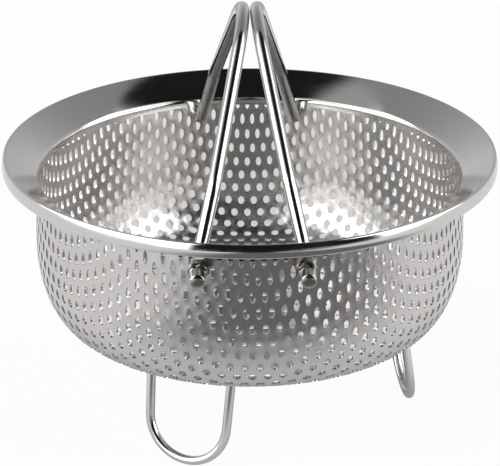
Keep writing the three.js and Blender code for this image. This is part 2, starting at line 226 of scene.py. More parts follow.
class NodeWriter:
    """Adds nodes to one tree and joins their sockets."""

    def __init__(self, tree: bpy.types.NodeTree) -> None:
        """Starts writing into a shader or geometry tree."""
        self.tree = tree

    def add(self, kind: str, *values: Wire, **named: object) -> bpy.types.Node:
        """Adds a node, sets it up and feeds its open inputs.

        Args:
            kind: The node's type name.
            values: One value or socket for each open input in order; None leaves an input as it is.
            named: The node's properties, which start small, and inputs by their own names, which start
                with a capital and have underscores for spaces.
        Returns:
            The new node.
        """
        node = self.tree.nodes.new(kind)
        for name, setting in named.items():
            if name[0].islower():
                setattr(node, name, setting)
        open_inputs = [socket for socket in node.inputs if socket.enabled]
        for socket, value in zip(open_inputs, values):
            self.feed(socket, value)
        for socket in open_inputs:
            self.feed(socket, named.get(socket.name.replace(" ", "_")))
        return node

    def feed(self, socket: Socket, value: Wire) -> None:
        """Joins a socket to another one, or sets its own value.

        Args:
            socket: The input to feed.
            value: A socket to join, a plain value, or None to leave the input alone.
        """
        if isinstance(value, Socket):
            self.tree.links.new(value, socket)
        elif value is not None:
            socket.default_value = value

    def out(self, kind: str, *values: Wire, **named: object) -> Socket:
        """Adds a node as add() does and gives its first open output."""
        node = self.add(kind, *values, **named)
        return next(socket for socket in node.outputs if socket.enabled)

    def math(self, operation: str, *values: Wire) -> Socket:
        """Adds a sum of numbers, such as MAXIMUM."""
        return self.out("ShaderNodeMath", *values, operation=operation)

    def minus(self, first: Wire, second: Wire) -> Socket:
        """Takes the second number from the first."""
        return self.math("SUBTRACT", first, second)

    def half(self, value: Wire) -> Socket:
        """Halves a number."""
        return self.math("MULTIPLY", value, HALF)

    def times(self, first: Wire, *others: Wire) -> Socket:
        """Multiplies numbers, from the left.

        Args:
            first: The first number.
            others: The numbers it is multiplied by.
        Returns:
            The product.
        """
        for other in others:
            first = self.math("MULTIPLY", first, other)
        return first

    def vector(self, operation: str, *values: Wire) -> Socket:
        """Adds a sum of vectors, such as NORMALIZE, which gives a vector or a number."""
        return self.out("ShaderNodeVectorMath", *values, operation=operation)

    def scaled(self, vector: Wire, by: Wire) -> Socket:
        """Lengthens a vector by a factor."""
        return self.vector("SCALE", vector, by)

    def length(self, x: Wire, y: Wire) -> Socket:
        """Finds how far a flat place is from the middle."""
        return self.vector("LENGTH", self.joined(x, y))

    def split(self, vector: Wire) -> tuple[Socket, ...]:
        """Takes a vector apart into its x, y and z."""
        return tuple(self.add("ShaderNodeSeparateXYZ", vector).outputs)

    def joined(self, x: Wire = 0.0, y: Wire = 0.0, z: Wire = 0.0) -> Socket:
        """Puts a vector together from its x, y and z."""
        return self.out("ShaderNodeCombineXYZ", x, y, z)

    def ease(self, value: Wire, low: Wire, high: Wire, start: Wire = 0.0, end: Wire = 1.0) -> Socket:
        """Eases from a start to an end while a value crosses the range from low to high."""
        kind = "ShaderNodeMapRange"
        return self.out(kind, value, low, high, start, end, interpolation_type="SMOOTHSTEP")

    def mix(self, factor: Wire, first: Wire, second: Wire, kind: str = "FLOAT") -> Socket:
        """Blends two values of one kind: FLOAT, VECTOR or RGBA."""
        return self.out("ShaderNodeMix", factor, first, second, data_type=kind)

    def field(self, name: str, kind: str = "FLOAT") -> Socket:
        """Reads a named attribute of the shape."""
        return self.out("GeometryNodeInputNamedAttribute", name, data_type=kind)

    def stored(self, shape: Socket, name: str, value: Socket, kind: str = "FLOAT") -> Socket:
        """Keeps a field on the points of a shape as a named attribute."""
        node = "GeometryNodeStoreNamedAttribute"
        return self.out(node, shape, Name=name, Value=value, data_type=kind, domain="POINT")

    def moved(self, shape: Socket, place: Socket, chosen: Wire = None) -> Socket:
        """Moves all points of a shape, or the chosen ones, to new places."""
        return self.out("GeometryNodeSetPosition", shape, chosen, place)

    def together(self, *shapes: Socket) -> Socket:
        """Joins shapes into one.

        Args:
            shapes: The shapes in order.
        Returns:
            The joined shape.
        """
        node = self.add("GeometryNodeJoinGeometry")
        for shape in shapes:
            self.feed(node.inputs[0], shape)
        return node.outputs[0]


def cleared(owner: bpy.types.Material | bpy.types.World) -> NodeWriter:
    """Empties the node tree of a material or a world.

    Args:
        owner: The material or world.
    Returns:
        A writer for its tree.
    """
    owner.use_nodes = True
    owner.node_tree.nodes.clear()
    return NodeWriter(owner.node_tree)


def new_tree(
    name: str, kind: str, inputs: Sequence[tuple[str, str]], outputs: Sequence[tuple[str, str]]
) -> tuple[NodeWriter, bpy.types.Node, bpy.types.Node]:
    """Makes an empty node tree with named inputs and outputs.

    Args:
        name: The tree's name.
        kind: GeometryNodeTree or ShaderNodeTree.
        inputs: Name and socket type of each input.
        outputs: Name and socket type of each output.
    Returns:
        A writer for the tree, its input node and its output node.
    """
    tree = bpy.data.node_groups.new(name, kind)
    for way, sockets in (("INPUT", inputs), ("OUTPUT", outputs)):
        for label, socket_type in sockets:
            tree.interface.new_socket(label, in_out=way, socket_type=socket_type)
    write = NodeWriter(tree)
    return write, write.add("NodeGroupInput"), write.add("NodeGroupOutput")


class ShapeTree:
    """A Geometry Nodes tree that turns a guide mesh into a finished piece; its sizes are named inputs."""

    title = "Shape"
    numbers: tuple[str, ...] = ()
    counts: tuple[str, ...] = ()
    places: tuple[str, ...] = ()

    def __init__(self) -> None:
        """Builds the tree once."""
        kinds = ((FLOAT, self.numbers), (COUNT, self.counts), (VECTOR, self.places), (STEEL, ("Material",)))
        sizes = [(name, kind) for kind, names in kinds for name in names]
        shape = ("Geometry", SHAPE)
        self.write, self.given, result = new_tree(self.title, "GeometryNodeTree", [shape, *sizes], [shape])
        self.place = self.write.out("GeometryNodeInputPosition")
        real = self.write.out("GeometryNodeRealizeInstances", self.shape())
        finished = self.write.out("GeometryNodeSetMaterial", real, None, self.get("Material"))
        self.write.feed(result.inputs[0], finished)

    def get(self, name: str) -> Socket:
        """Finds one of the tree's own inputs."""
        return self.given.outputs[name]

    def shape(self) -> Socket:
        """Writes the nodes that make the shape, before its instances are made real."""
        raise NotImplementedError

    def make(self, name: str, guide: bpy.types.Mesh, **values: object) -> bpy.types.Object:
        """Runs the tree on a guide and keeps the result as a plain mesh.

        Args:
            name: The new piece's name.
            guide: The mesh the tree starts from.
            values: The tree's inputs, with underscores for spaces.
        Returns:
            The new object, at the origin, in the scene.
        """
        piece = put(name, guide)
        modifier = piece.modifiers.new("Shape", "NODES")
        modifier.node_group = self.write.tree
        sockets = {item.name: item.identifier for item in self.write.tree.interface.items_tree}
        for label, value in values.items():
            modifier[sockets[label.replace("_", " ").title()]] = value
        piece.update_tag()
        graph = bpy.context.evaluated_depsgraph_get()
        mesh = bpy.data.meshes.new_from_object(piece.evaluated_get(graph))
        piece.modifiers.clear()
        piece.data = mesh
        bpy.data.meshes.remove(guide)
        mesh.name = name
        mesh.shade_smooth()
        mesh.set_sharp_from_angle(angle=SHARP_ANGLE)
        return piece


class DeepDraw:
    """A node group that draws a flat blank over a guide profile, as the press does."""

    INWARD = "inward"

    def __init__(self) -> None:
        """Builds the group: guide, flat place, guide step and last guide index in, drawn place out."""
        inputs = (("Guide", SHAPE), ("Flat", VECTOR), ("Step", FLOAT), ("Last", COUNT))
        write, given, result = new_tree("Deep Draw", "GeometryNodeTree", inputs, (("Drawn", VECTOR),))
        guide, flat, step, last = given.outputs[:4]
        x, y, depth = write.split(flat)
        along = write.math("MINIMUM", write.math("DIVIDE", write.length(x, y), step), last)
        low = write.math("FLOOR", write.math("MINIMUM", along, write.minus(last, HALF)))
        share = write.minus(along, low)
        ends = (low, write.math("ADD", low, 1.0))
        kind = "FLOAT_VECTOR"
        sampled = []
        for field in (write.out("GeometryNodeInputPosition"), write.field(self.INWARD, kind)):
            pair = [write.out("GeometryNodeSampleIndex", guide, field, end, data_type=kind) for end in ends]
            sampled.append(write.mix(share, *pair, kind="VECTOR"))
        outside, inward = sampled
        radius, _, height = write.split(write.vector("ADD", outside, write.scaled(inward, depth)))
        outward = write.scaled(write.vector("NORMALIZE", write.joined(x, y)), radius)
        write.feed(result.inputs[0], write.vector("ADD", outward, write.joined(z=height)))
        self.tree = write.tree


class PerforatedSheetTree(ShapeTree):
    """Punches a triangular pattern in a flat blank, thickens it, draws it over the guide and drills it."""

    title = "Perforated Sheet"
    numbers = (
        "Pitch", "Hole Diameter", "Edge Margin", "Blank Radius", "Sheet", "Step", "Pivot Offset",
        "Pivot Height", "Bore Diameter", "Bore Land", "Drill Length", "Closing", "Lengthening", "Edge Web",
        "Dish", "Thin Edge", "Edge Sheet",
    )
    counts = ("Columns", "Rows", "Last")
    CELL_SIDES = 6.0
    CELL_CORNER = math.sqrt(1 / 3)
    HOLE_SIDES = 12
    BORE_SIDES = 28
    WELD = 0.02
    TINY = 0.001 * MM
    ALMOST_NONE = 1e-4
    CENTRE = "centre"
    RIM = "rim"

    def shape(self) -> Socket:
        """Writes the sheet from its lattice to its drilled bores.

        Returns:
            The socket with the drawn sheet.
        """
        write, blank, pitch = self.write, self.get("Blank Radius"), self.get("Pitch")
        self.draw = DeepDraw()
        self.flat_radius = write.vector("LENGTH", self.place)
        sites = self.lattice()
        inside = write.math("LESS_THAN", self.flat_radius, write.minus(blank, self.get("Edge Margin")))
        punched = write.times(inside, self.clear_of_bores())
        on_sheet = write.math("LESS_THAN", self.flat_radius, write.math("ADD", blank, pitch))
        plain = write.math("GREATER_THAN", write.minus(on_sheet, punched), HALF)
        kinds = ((punched, self.hole_cell()), (plain, self.plain_cell()))
        cells = [write.out("GeometryNodeInstanceOnPoints", sites, chosen, cell) for chosen, cell in kinds]
        real = write.out("GeometryNodeRealizeInstances", write.together(*cells))
        weld = write.times(pitch, self.WELD)
        flat = write.out("GeometryNodeMergeByDistance", real, None, weld)
        within = write.math("LESS_THAN", self.flat_radius, blank)
        on_points = write.out("GeometryNodeFieldOnDomain", within, data_type="FLOAT", domain="POINT")
        outside = write.math("LESS_THAN", on_points, self.ALMOST_NONE)
        trimmed = write.out("GeometryNodeDeleteGeometry", flat, outside, domain="FACE")
        solid = self.thickened(self.closed_holes(trimmed), weld)
        return self.drilled(write.moved(solid, self.drawn(self.place)))

    def drawn(self, flat: Socket) -> Socket:
        """Finds where the press takes a place of the blank."""
        values = (self.get("Geometry"), flat, self.get("Step"), self.get("Last"))
        return self.write.out("GeometryNodeGroup", *values, node_tree=self.draw.tree)

    def lattice(self) -> Socket:
        """Lays out the centres of the pattern, every other row set over by half a pitch.

        Returns:
            The points of the pattern.
        """
        write, pitch = self.write, self.get("Pitch")
        columns, rows = self.get("Columns"), self.get("Rows")
        row_pitch = write.times(pitch, ROW_RATIO)
        width = write.times(write.minus(columns, 1.0), pitch)
        depth = write.times(write.minus(rows, 1.0), row_pitch)
        grid = write.out("GeometryNodeMeshGrid", width, depth, columns, rows)
        row = write.math("ROUND", write.math("DIVIDE", write.split(self.place)[1], row_pitch))
        odd = write.math("FLOORED_MODULO", row, 2.0)
        shift = write.joined(write.times(odd, write.half(pitch)))
        sites = write.out("GeometryNodeSetPosition", grid, Offset=shift)
        return write.stored(sites, self.CENTRE, self.place, "FLOAT_VECTOR")

    def clear_of_bores(self) -> Socket:
        """Tells the sites whose hole doesn't run into a pivot bore.

        Returns:
            1 where there is no bore.
        """
        write = self.write
        x, _, height = write.split(self.drawn(self.place))
        aside = write.minus(write.math("ABSOLUTE", x), self.get("Pivot Offset"))
        above = write.minus(height, self.get("Pivot Height"))
        return write.math("GREATER_THAN", write.length(aside, above), self.get("Bore Land"))

    def hexagon(self) -> Socket:
        """Moves the points of a circle onto the outline of one cell of the pattern.

        Returns:
            Places on a hexagon, or the middle for a point in the middle.
        """
        write, pitch = self.write, self.get("Pitch")
        x, y, _ = write.split(self.place)
        lobes = write.math("COSINE", write.times(write.math("ARCTAN2", y, x), self.CELL_SIDES))
        flatness = write.math("MULTIPLY_ADD", lobes, HALF, HALF)
        radius = write.mix(flatness, write.times(pitch, self.CELL_CORNER), write.half(pitch))
        outline = write.scaled(write.vector("NORMALIZE", self.place), radius)
        return write.vector("ADD", outline, write.joined(z=self.get("Dish")))

    def hole_cell(self) -> Socket:
        """Makes one cell of the pattern with its hole.

        Returns:
            A ring of faces from the hole to the hexagon, with the hole's rim marked.
        """
        write = self.write
        half_hole, half_pitch = write.half(self.get("Hole Diameter")), write.half(self.get("Pitch"))
        edge = write.out("GeometryNodeMeshCircle", self.HOLE_SIDES, half_hole)
        ring = write.add("GeometryNodeExtrudeMesh", edge, Offset_Scale=0.0, mode="EDGES")
        cell = write.moved(ring.outputs["Mesh"], self.hexagon(), ring.outputs["Top"])
        between = write.half(write.math("ADD", half_hole, half_pitch))
        return write.stored(cell, self.RIM, write.math("LESS_THAN", self.flat_radius, between))

    def plain_cell(self) -> Socket:
        """Makes one cell of the pattern without a hole."""
        fan = self.write.out("GeometryNodeMeshCircle", self.HOLE_SIDES, 1.0, fill_type="TRIANGLE_FAN")
        return self.write.moved(fan, self.hexagon())

    def closed_holes(self, flat: Socket) -> Socket:
        """Narrows and lengthens each hole as the wall is squeezed, and keeps its rim on the sheet.

        Args:
            flat: The punched blank.
        Returns:
            The blank with its holes closed up.
        """
        write = self.write
        centre = write.field(self.CENTRE, "FLOAT_VECTOR")
        x, y, _ = write.split(self.drawn(centre))
        ends = (write.length(x, y), write.vector("LENGTH", centre))
        radii = [write.math("ADD", radius, self.TINY) for radius in ends]
        squeeze = write.math("MINIMUM", write.math("DIVIDE", *radii), 1.0)
        narrow = write.math("POWER", squeeze, self.get("Closing"))
        longer = write.math("POWER", squeeze, write.times(self.get("Lengthening"), -1.0))
        outward = write.vector("NORMALIZE", centre)
        off = write.vector("SUBTRACT", self.place, centre)
        along = write.scaled(outward, write.vector("DOT_PRODUCT", off, outward))
        across = write.scaled(write.vector("SUBTRACT", off, along), narrow)
        oval = write.vector("ADD", write.scaled(along, longer), across)
        moved = write.vector("ADD", centre, oval)
        limit = write.minus(self.get("Blank Radius"), self.get("Edge Web"))
        kept = write.math("MINIMUM", write.math("DIVIDE", limit, write.vector("LENGTH", moved)), 1.0)
        on_rim = write.math("GREATER_THAN", write.field(self.RIM), HALF)
        return write.moved(flat, write.scaled(moved, kept), on_rim)

    def thickened(self, flat: Socket, weld: Socket) -> Socket:
        """Gives the flat sheet its thickness.

        Args:
            flat: The punched blank.
            weld: Distance under which points are one.
        Returns:
            The solid blank.
        """
        write, blank = self.write, self.get("Blank Radius")
        thin_from = write.minus(blank, self.get("Thin Edge"))
        thickness = write.ease(self.flat_radius, thin_from, blank, self.get("Sheet"), self.get("Edge Sheet"))
        rise = {"Offset": (0.0, 0.0, 1.0), "Offset_Scale": thickness, "Individual": False}
        raised = write.out("GeometryNodeExtrudeMesh", flat, **rise)
        solid = write.together(raised, write.out("GeometryNodeFlipFaces", flat))
        return write.out("GeometryNodeMergeByDistance", solid, None, weld)

    def drilled(self, bowl: Socket) -> Socket:
        """Drills both pivot lines through the wall.

        Args:
            bowl: The drawn bowl.
        Returns:
            The drilled bowl.
        """
        write = self.write
        radius, length = write.half(self.get("Bore Diameter")), self.get("Drill Length")
        drill = write.out("GeometryNodeMeshCylinder", self.BORE_SIDES, 1, 1, radius, length)
        level = (math.pi / 2, 0.0, 0.0)
        drills = []
        for side in Side:
            aside = write.times(self.get("Pivot Offset"), float(side.value))
            where = write.joined(aside, 0.0, self.get("Pivot Height"))
            drills.append(write.out("GeometryNodeTransform", drill, Translation=where, Rotation=level))
        meshes = {"Mesh_1": bowl, "Mesh_2": write.together(*drills)}
        return write.out("GeometryNodeMeshBoolean", **meshes, operation="DIFFERENCE", solver="MANIFOLD")


class TurnedSheetTree(ShapeTree):
    """Turns a closed section, drawn in the XZ plane, round the Z axis."""

    title = "Turned Sheet"
    numbers = ("Sweep Radius",)
    counts = ("Segments",)

    def shape(self) -> Socket:
        """Writes the sweep of the section round a circle.

        Returns:
            The socket with the ring.
        """
        write, radius = self.write, self.get("Sweep Radius")
        section = write.out("GeometryNodeMeshToCurve", self.get("Geometry"))
        across, _, height = write.split(self.place)
        laid = write.joined(write.minus(across, radius), write.times(height, -1.0))
        circle = write.out("GeometryNodeCurvePrimitiveCircle", Resolution=self.get("Segments"), Radius=radius)
        return write.out("GeometryNodeCurveToMesh", circle, write.moved(section, laid))


class BentRodTree(ShapeTree):
    """Bends round stock along a guide whose points carry their bend radius and their girth."""

    title = "Bent Rod"
    numbers = ("Diameter", "Ground")
    counts = ("Facets", "Bend Steps")
    BEND = "bend"
    GIRTH = "girth"

    def shape(self) -> Socket:
        """Writes the bends, the sweep and the flat that the table has worn on it.

        Returns:
            The socket with the rod.
        """
        write = self.write
        line = write.out("GeometryNodeMeshToCurve", self.get("Geometry"))
        bends = {"Count": self.get("Bend Steps"), "Radius": write.field(self.BEND)}
        bent = write.out("GeometryNodeFilletCurve", line, **bends, mode="POLY")
        radius = write.half(self.get("Diameter"))
        circle = write.out("GeometryNodeCurvePrimitiveCircle", Resolution=self.get("Facets"), Radius=radius)
        girth = write.field(self.GIRTH)
        swept = write.out("GeometryNodeCurveToMesh", bent, circle, Scale=girth, Fill_Caps=True)
        x, y, z = write.split(self.place)
        return write.moved(swept, write.joined(x, y, write.math("MAXIMUM", z, self.get("Ground"))))

    def bend(
        self, name: str, corners: Sequence[Corner], place: Matrix, **values: object
    ) -> bpy.types.Object:
        """Bends one rod in its place, above the table.

        Args:
            name: The piece's name.
            corners: The corners in the rod's own plane.
            place: From that plane to the part's frame.
            values: The tree's other inputs.
        Returns:
            The piece.
        """
        fields = {self.BEND: [c.bend for c in corners], self.GIRTH: [c.girth for c in corners]}
        guide = guide_mesh([place @ corner.at for corner in corners], **fields)
        return self.make(name, guide, ground=0.0, **values)


class FastenerPairTree(ShapeTree):
    """Sets one fastener at each end of a pivot, facing out along it."""

    title = "Fastener Pair"
    numbers = ("Reach", "Lean")
    places = ("Pivot",)

    def shape(self) -> Socket:
        """Writes the two ends and puts the fastener on each.

        Returns:
            The socket with the pair.
        """
        write, reach = self.write, self.get("Reach")
        start, step = (write.joined(y=write.times(reach, factor)) for factor in (-1.0, 2.0))
        ends = write.out("GeometryNodeMeshLine", 2, start, step)
        at_start = write.minus(1.0, write.out("GeometryNodeInputIndex"))
        facing = write.joined(z=write.times(at_start, math.pi))
        fastener = self.get("Geometry")
        pair = write.out("GeometryNodeInstanceOnPoints", ends, Instance=fastener, Rotation=facing)
        lean = write.joined(y=self.get("Lean"))
        return write.out("GeometryNodeTransform", pair, Translation=self.get("Pivot"), Rotation=lean)


# Finishes


@dataclass(frozen=True)
class SteelFinish:
    """How one kind of stainless stock looks; a seam gets painted shade outside its radius and below its
    height.
    """

    slot: str
    tint: tuple[float, float, float]
    roughness: float
    roughness_spread: float
    marks: Marks
    mark_depth: float
    smudges: float
    seam: tuple[float, float] | None = None


class SteelShop:
    """Makes the steel materials from shared effects: working marks, handling smudges and painted shade in
    closed seams.
    """

    MARK_NOISE = {"Scale": 1.0, "Detail": 3.0, "Roughness": 0.6}
    MARK_RANGE = (0.28, 0.72)
    SMUDGE_NOISE = {"Detail": 5.0, "Roughness": 0.62, "Distortion": 0.4}
    SMUDGE_RANGE = (0.42, 0.7)
    SMUDGE_SCALE = 26.0
    SMUDGE_ROUGHNESS = 0.5
    SMUDGE_TONE = 0.86
    SEAM_SHADE_TONE = (0.02, 0.02, 0.02, 1.0)
    SEAM_SHADE_BLEND = 0.2 * MM

    def __init__(self) -> None:
        """Builds the shared node groups."""
        self.marks_group = self.working_marks()
        self.smudge_group = self.handling_smudges()
        self.seam_shade_group = self.painted_seam_shade()
        self.made: dict[str, bpy.types.Material] = {}

    def working_marks(self) -> bpy.types.NodeTree:
        """Builds fine streaks that run round, across or up a turned shape.

        Returns:
            The group: place and three scales in, a value from 0 to 1 out.
        """
        inputs = (("Place", VECTOR), ("Around", FLOAT), ("Across", FLOAT), ("Upward", FLOAT))
        write, given, result = new_tree("Working Marks", "ShaderNodeTree", inputs, (("Mark", FLOAT),))
        place, around, across, upward = given.outputs[:4]
        x, y, z = write.split(place)
        flat = write.joined(x, y)
        ring_x, ring_y, _ = write.split(write.scaled(write.vector("NORMALIZE", flat), around))
        out = write.times(write.vector("LENGTH", flat), across)
        depth = write.math("ADD", out, write.times(z, upward))
        noise = write.out("ShaderNodeTexNoise", write.joined(ring_x, ring_y, depth), **self.MARK_NOISE)
        write.feed(result.inputs[0], write.ease(noise, *self.MARK_RANGE))
        return write.tree

    def handling_smudges(self) -> bpy.types.NodeTree:
        """Builds soft patches where the metal was wiped and held.

        Returns:
            The group: place and scale in, a mask from 0 to 1 out.
        """
        inputs = (("Place", VECTOR), ("Scale", FLOAT))
        write, given, result = new_tree("Handling Smudges", "ShaderNodeTree", inputs, (("Mask", FLOAT),))
        place, scale = given.outputs[:2]
        noise = write.out("ShaderNodeTexNoise", place, Scale=scale, **self.SMUDGE_NOISE)
        write.feed(result.inputs[0], write.ease(noise, *self.SMUDGE_RANGE))
        return write.tree

    def painted_seam_shade(self) -> bpy.types.NodeTree:
        """Builds painted shade for a closed seam, outside a radius and below a height, where no light gets
        in.

        Returns:
            The group: place, radius, height and blend in, a mask from 0 to 1 out.
        """
        inputs = (("Place", VECTOR), ("Radius", FLOAT), ("Height", FLOAT), ("Blend", FLOAT))
        write, given, result = new_tree("Painted Seam Shade", "ShaderNodeTree", inputs, (("Mask", FLOAT),))
        place, radius, height, blend = given.outputs[:4]
        x, y, z = write.split(place)
        past, below = write.minus(write.length(x, y), radius), write.minus(height, z)
        mask = write.times(write.ease(past, 0.0, blend), write.ease(below, 0.0, blend))
        write.feed(result.inputs[0], mask)
        return write.tree

    def material(self, finish: SteelFinish) -> bpy.types.Material:
        """Makes one steel, or finds it if it is made.

        Args:
            finish: How the steel looks.
        Returns:
            Its material.
        """
        if finish.slot in self.made:
            return self.made[finish.slot]
        material = bpy.data.materials.new(finish.slot)
        write = cleared(material)
        place = write.add("ShaderNodeTexCoord").outputs["Object"]
        mark = write.out("ShaderNodeGroup", place, *finish.marks.value, node_tree=self.marks_group)
        smudge = write.out("ShaderNodeGroup", place, self.SMUDGE_SCALE, node_tree=self.smudge_group)
        worn = write.times(smudge, finish.smudges)
        wiped = tuple(channel * self.SMUDGE_TONE for channel in finish.tint)
        colour = write.mix(worn, (*finish.tint, 1.0), (*wiped, 1.0), kind="RGBA")
        # Painted shade: inside the seam the colour goes nearly black, for the gap where no light gets in.
        if finish.seam:
            values = (place, *finish.seam, self.SEAM_SHADE_BLEND)
            seam = write.out("ShaderNodeGroup", *values, node_tree=self.seam_shade_group)
            colour = write.mix(seam, colour, self.SEAM_SHADE_TONE, kind="RGBA")
        grain = write.math("MULTIPLY_ADD", mark, finish.roughness_spread, finish.roughness)
        rough = write.math("MULTIPLY_ADD", worn, self.SMUDGE_ROUGHNESS, grain)
        bump = write.out("ShaderNodeBump", Distance=finish.mark_depth, Height=mark)
        surface = {"Base_Color": colour, "Metallic": 1.0, "Roughness": rough, "Normal": bump}
        steel = write.out("ShaderNodeBsdfPrincipled", **surface)
        write.add("ShaderNodeOutputMaterial", Surface=steel)
        self.made[finish.slot] = material
        return material


SATIN_SHEET = SteelFinish(
    "satin_sheet", tint=(0.685, 0.668, 0.657), roughness=0.19, roughness_spread=0.03,
    marks=Marks.DRAWN, mark_depth=0.004 * MM, smudges=0.1,
)
POLISHED_SHEET = SteelFinish(
    "polished_sheet", tint=(0.7, 0.69, 0.675), roughness=0.05, roughness_spread=0.05,
    marks=Marks.SPUN, mark_depth=0.003 * MM, smudges=0.12,
)
POLISHED_ROD = SteelFinish(
    "polished_rod", tint=(0.7, 0.69, 0.675), roughness=0.06, roughness_spread=0.05,
    marks=Marks.PULLED, mark_depth=0.003 * MM, smudges=0.1,
)
LEG_WIRE = SteelFinish(
    "leg_wire", tint=(0.76, 0.75, 0.735), roughness=0.09, roughness_spread=0.05,
    marks=Marks.PULLED, mark_depth=0.002 * MM, smudges=0.15,
)
FASTENER = SteelFinish(
    "fastener", tint=(0.46, 0.45, 0.435), roughness=0.12, roughness_spread=0.05,
    marks=Marks.PULLED, mark_depth=0.004 * MM, smudges=0.15,
)


def fit(piece: bpy.types.Object, body: Body, nodes: Sequence[str]) -> None:
    """Lets a piece stand for its CAD nodes.

    Args:
        piece: The finished piece.
        body: The body it moves with.
        nodes: The nodes it stands for.
    """
    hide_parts(*nodes)
    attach(piece, body.value)
    log.info("%s: %d faces on %s", piece.name, len(piece.data.polygons), body.value)


# Sub-assemblies


@dataclass
class Pivot:
    """The line that one handle turns on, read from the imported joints."""

    side: Side
    bore: float = 4.7 * MM

    @property
    def body(self) -> Body:
        """Names the body that swings on this pivot."""
        return Body(f"{self.side.label}_handle")

    @property
    def centre(self) -> Vector:
        """Finds the middle of the pivot line, where the joint is."""
        joints = {joint["child"]: joint for joint in frame["joints"]}
        return Vector(joints[self.body.value]["pos_m"])


@dataclass
class PerforatedBowl:
    """The bowl: one sheet, punched flat and deep-drawn."""

    top_radius: float = 104 * MM
    belly: float = 0.8 * MM
    sheet: float = 1.1 * MM
    edge_sheet: float = 0.7 * MM
    thin_edge: float = 10 * MM
    corner_reach: float = 20.2 * MM
    corner_rise: float = 40.4 * MM
    corner_steps: int = 160
    pitch: float = 7.38 * MM
    hole: float = 4.1 * MM
    edge_margin: float = 0.9 * MM
    edge_web: float = 0.35 * MM
    bore_land: float = 4.4 * MM
    closing: float = 0.6
    lengthening: float = 0.35
    dish: float = 0.14 * MM
    stretch: float = 0.9
    blank_step: float = 0.25 * MM

    def __post_init__(self) -> None:
        """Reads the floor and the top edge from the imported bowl, and works out the outside."""
        low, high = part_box("perforated_bowl")
        self.floor, self.top = low.z, high.z
        self.floor_radius = self.top_radius + self.belly - self.corner_reach
        self.runs = self.outside()

    def outside(self) -> list[tuple[Vector, Vector, float]]:
        """Lists the straight runs that make up the outside, the corner in short ones.

        Returns:
            Start, direction and length of each run, as radius and height in x and z.
        """
        points = [Vector((0, 0, self.floor))]
        for k in range(self.corner_steps + 1):
            angle = math.pi / 2 * k / self.corner_steps
            radius = self.floor_radius + self.corner_reach * math.sin(angle)
            points.append(Vector((radius, 0, self.floor + self.corner_rise * (1 - math.cos(angle)))))
        points.append(Vector((self.top_radius, 0, self.top)))
        return [(a, (b - a).normalized(), (b - a).length) for a, b in zip(points, points[1:])]

    def profile(self, length: float) -> tuple[Vector, Vector]:
        """Follows the outside of the bowl from the middle of the floor.

        Args:
            length: How far to go along it.
        Returns:
            The place, as radius and height in x and z, and the direction there.
        """
        *runs, (start, direction, _) = self.runs
        for run_start, run_direction, run in runs:
            if length <= run:
                return run_start + run_direction * length, run_direction
            length -= run
        return start + direction * length, direction

    def guide(self) -> bpy.types.Mesh:
        """Works out where each ring of the flat blank ends up, as it thins out over the corner.

        Returns:
            A line with one point for each step of the blank's radius.
        """
        whole = sum(run for _, _, run in self.runs)
        stations, drawn, blank = [], 0.0, 0.0
        while drawn < whole:
            stations.append(self.profile(drawn))
            radius = stations[-1][0].x
            squeeze = max(1.0, blank / radius) if blank > self.floor_radius else 1.0
            drawn += self.blank_step * squeeze**self.stretch
            blank += self.blank_step
        stations.append(self.profile(whole))
        inward = [Vector((-along.z, 0, along.x)) for _, along in stations]
        return guide_mesh([place for place, _ in stations], **{DeepDraw.INWARD: inward})

    def build(self, shop: SteelShop, pivot: Pivot) -> None:
        """Makes the bowl.

        Args:
            shop: Where its steel comes from.
            pivot: One of the two pivots drilled through it.
        """
        guide = self.guide()
        last = len(guide.vertices) - 1
        blank_radius = last * self.blank_step
        across = math.ceil(blank_radius / self.pitch) + 1
        deep = math.ceil(blank_radius / (self.pitch * ROW_RATIO)) + 1
        bowl = PerforatedSheetTree().make(
            "bowl", guide, pitch=self.pitch, hole_diameter=self.hole, edge_margin=self.edge_margin,
            columns=2 * across + 1, rows=2 * deep + 1, blank_radius=blank_radius, sheet=self.sheet,
            step=self.blank_step, last=last, pivot_offset=abs(pivot.centre.x), pivot_height=pivot.centre.z,
            bore_diameter=pivot.bore, bore_land=self.bore_land, drill_length=4 * self.top_radius,
            closing=self.closing, lengthening=self.lengthening, edge_web=self.edge_web, dish=self.dish,
            thin_edge=self.thin_edge, edge_sheet=self.edge_sheet, material=shop.material(SATIN_SHEET),
        )
        fit(bowl, Body.BASKET, ["perforated_bowl"])


